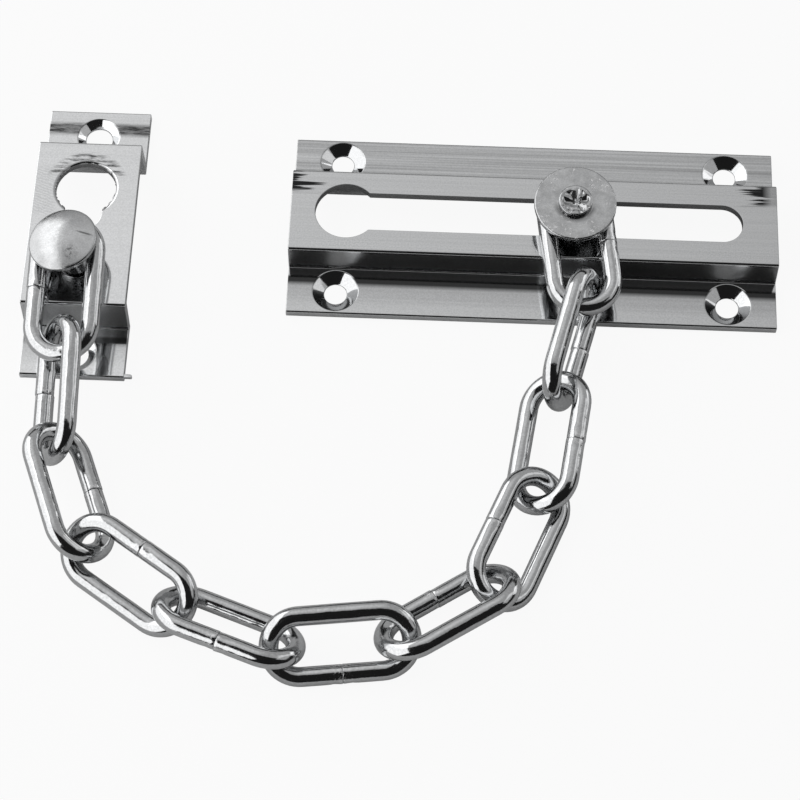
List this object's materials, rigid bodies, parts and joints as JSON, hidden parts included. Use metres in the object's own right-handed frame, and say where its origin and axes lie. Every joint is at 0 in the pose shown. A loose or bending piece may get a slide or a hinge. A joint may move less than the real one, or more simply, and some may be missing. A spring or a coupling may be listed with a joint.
{
  "type": "door security chain",
  "caption": "Chromed door chain: a slotted slide plate with a sliding stud, bent wire links and a keep plate with a domed stud and a parking keyhole.",
  "frame": {"origin": "middle of the slide plate's back face, centre of its four screw holes", "axes": "+X along the slot away from the keyhole, +Y to the rear in the picture, +Z away from the door"},
  "size_m": [0.1375, 0.1153, 0.0186],
  "materials": {
    "plate_chrome": "chromed drawn section, fine lines along it",
    "link_chrome": "polished chrome wire with butt seams",
    "stud_chrome": "chromed turned metal with small nicks"
  },
  "bodies": {
    "slide_plate": {"slide_plate": "plate_chrome"},
    "slider": {"slider_stud": "stud_chrome", "slider_disc": "stud_chrome"},
    "link_11": {"link_11": "link_chrome"},
    "link_10": {"link_10": "link_chrome"},
    "link_9": {"link_9": "link_chrome"},
    "link_8": {"link_8": "link_chrome"},
    "link_7": {"link_7": "link_chrome"},
    "link_6": {"link_6": "link_chrome"},
    "link_5": {"link_5": "link_chrome"},
    "link_4": {"link_4": "link_chrome"},
    "link_3": {"link_3": "link_chrome"},
    "link_2": {"link_2": "link_chrome"},
    "link_1": {"link_1": "link_chrome"},
    "keep": {"keep_plate": "plate_chrome", "keep_stud": "stud_chrome", "keep_stud_washer": "stud_chrome"}
  },
  "joints": [
    {"name": "slider_travel", "type": "slide", "parent": "slide_plate", "child": "slider", "axis": [1, 0, 0], "range_m": [-0.042, 0.0274]},
    {"name": "link_11_swivel", "type": "hinge", "parent": "slider", "child": "link_11", "pos_m": [0.0073, 0, 0.0061], "axis": [0, -0.0698, 0.9976], "range_deg": [-45, 30]},
    {"name": "link_10_bend", "type": "hinge", "parent": "link_11", "child": "link_10", "pos_m": [0.00995, -0.01918, 0.00782], "axis": [0.9903, 0.1392, 0], "range_deg": [-45, 15]},
    {"name": "link_9_bend", "type": "hinge", "parent": "link_10", "child": "link_9", "pos_m": [0.00434, -0.03776, 0.00677], "axis": [-0.3069, -0.0224, 0.9515], "range_deg": [-45, 45]},
    {"name": "link_8_bend", "type": "hinge", "parent": "link_9", "child": "link_8", "pos_m": [0.00179, -0.05757, 0.00427], "axis": [-0.8614, 0.1552, -0.4836], "range_deg": [-20, 20]},
    {"name": "link_7_bend", "type": "hinge", "parent": "link_8", "child": "link_7", "pos_m": [-0.00604, -0.07531, 0.00427], "axis": [0.8109, -0.3276, -0.4848], "range_deg": [-45, 25]},
    {"name": "link_6_bend", "type": "hinge", "parent": "link_7", "child": "link_6", "pos_m": [-0.02359, -0.08507, 0.00481], "axis": [0.4406, -0.6785, 0.5878], "range_deg": [-25, 45]},
    {"name": "link_5_bend", "type": "hinge", "parent": "link_6", "child": "link_5", "pos_m": [-0.04351, -0.08647, 0.00481], "axis": [-0.0986, 0.803, 0.5878], "range_deg": [-20, 45]},
    {"name": "link_4_bend", "type": "hinge", "parent": "link_5", "child": "link_4", "pos_m": [-0.06209, -0.07862, 0.00496], "axis": [0.2695, 0.7405, -0.6157], "range_deg": [-45, 45]},
    {"name": "link_3_bend", "type": "hinge", "parent": "link_4", "child": "link_3", "pos_m": [-0.0786, -0.06687, 0.00459], "axis": [-0.469, -0.6953, -0.5446], "range_deg": [-45, 35]},
    {"name": "link_2_bend", "type": "hinge", "parent": "link_3", "child": "link_2", "pos_m": [-0.08467, -0.04747, 0.00613], "axis": [-0.7154, -0.305, 0.6287], "range_deg": [-45, 45]},
    {"name": "link_1_bend", "type": "hinge", "parent": "link_2", "child": "link_1", "pos_m": [-0.08413, -0.03102, 0.01039], "axis": [0.9903, -0.0254, 0.1368], "range_deg": [-12, 15]},
    {"name": "keep_swivel", "type": "hinge", "parent": "link_1", "child": "keep", "pos_m": [-0.08293, -0.01448, 0.0083], "axis": [0.1908, 0, -0.9816], "range_deg": [-3, 45]}
  ]
}
